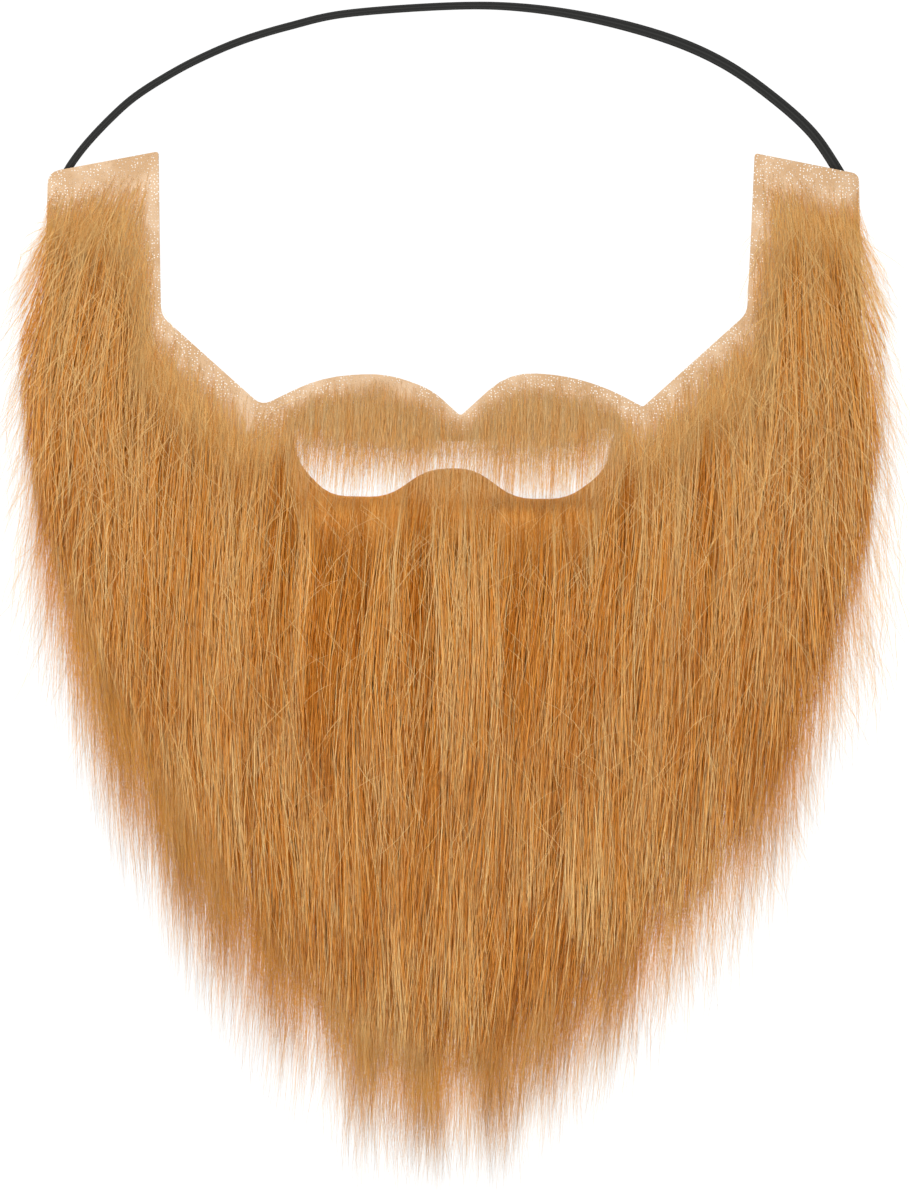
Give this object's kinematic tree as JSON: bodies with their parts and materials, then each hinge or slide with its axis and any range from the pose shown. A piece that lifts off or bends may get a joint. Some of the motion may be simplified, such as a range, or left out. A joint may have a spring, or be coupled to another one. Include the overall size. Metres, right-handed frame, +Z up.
{
  "type": "false beard with moustache",
  "caption": "Costume false beard of long tan fur on a knitted cloth back, with sideburns, a moustache over a mouth opening and an elastic cord that goes round the head.",
  "frame": {"origin": "on the surface it lies on, under the middle of the beard's box, leaving out the elastic cord", "axes": "+Z up from the cloth back to the hair, +Y from the beard's point to the sideburn tops, +X to the right as seen from above"},
  "size_m": [0.296, 0.392, 0.0106],
  "materials": {
    "knitted_ground": "pale peach open knit, matt",
    "beard_hair": "long tan synthetic hair with a soft sheen",
    "moustache_hair": "shorter tan synthetic hair with a soft sheen",
    "black_elastic": "ribbed black braid, matt",
    "sewn_elastic": "folded black braid sewn flat, matt"
  },
  "bodies": {
    "root": {"backing_cloth": "knitted_ground", "beard_fur": "beard_hair", "moustache_fur": "moustache_hair", "elastic_cord": "black_elastic", "left_elastic_tack": "sewn_elastic", "right_elastic_tack": "sewn_elastic"}
  },
  "joints": []
}
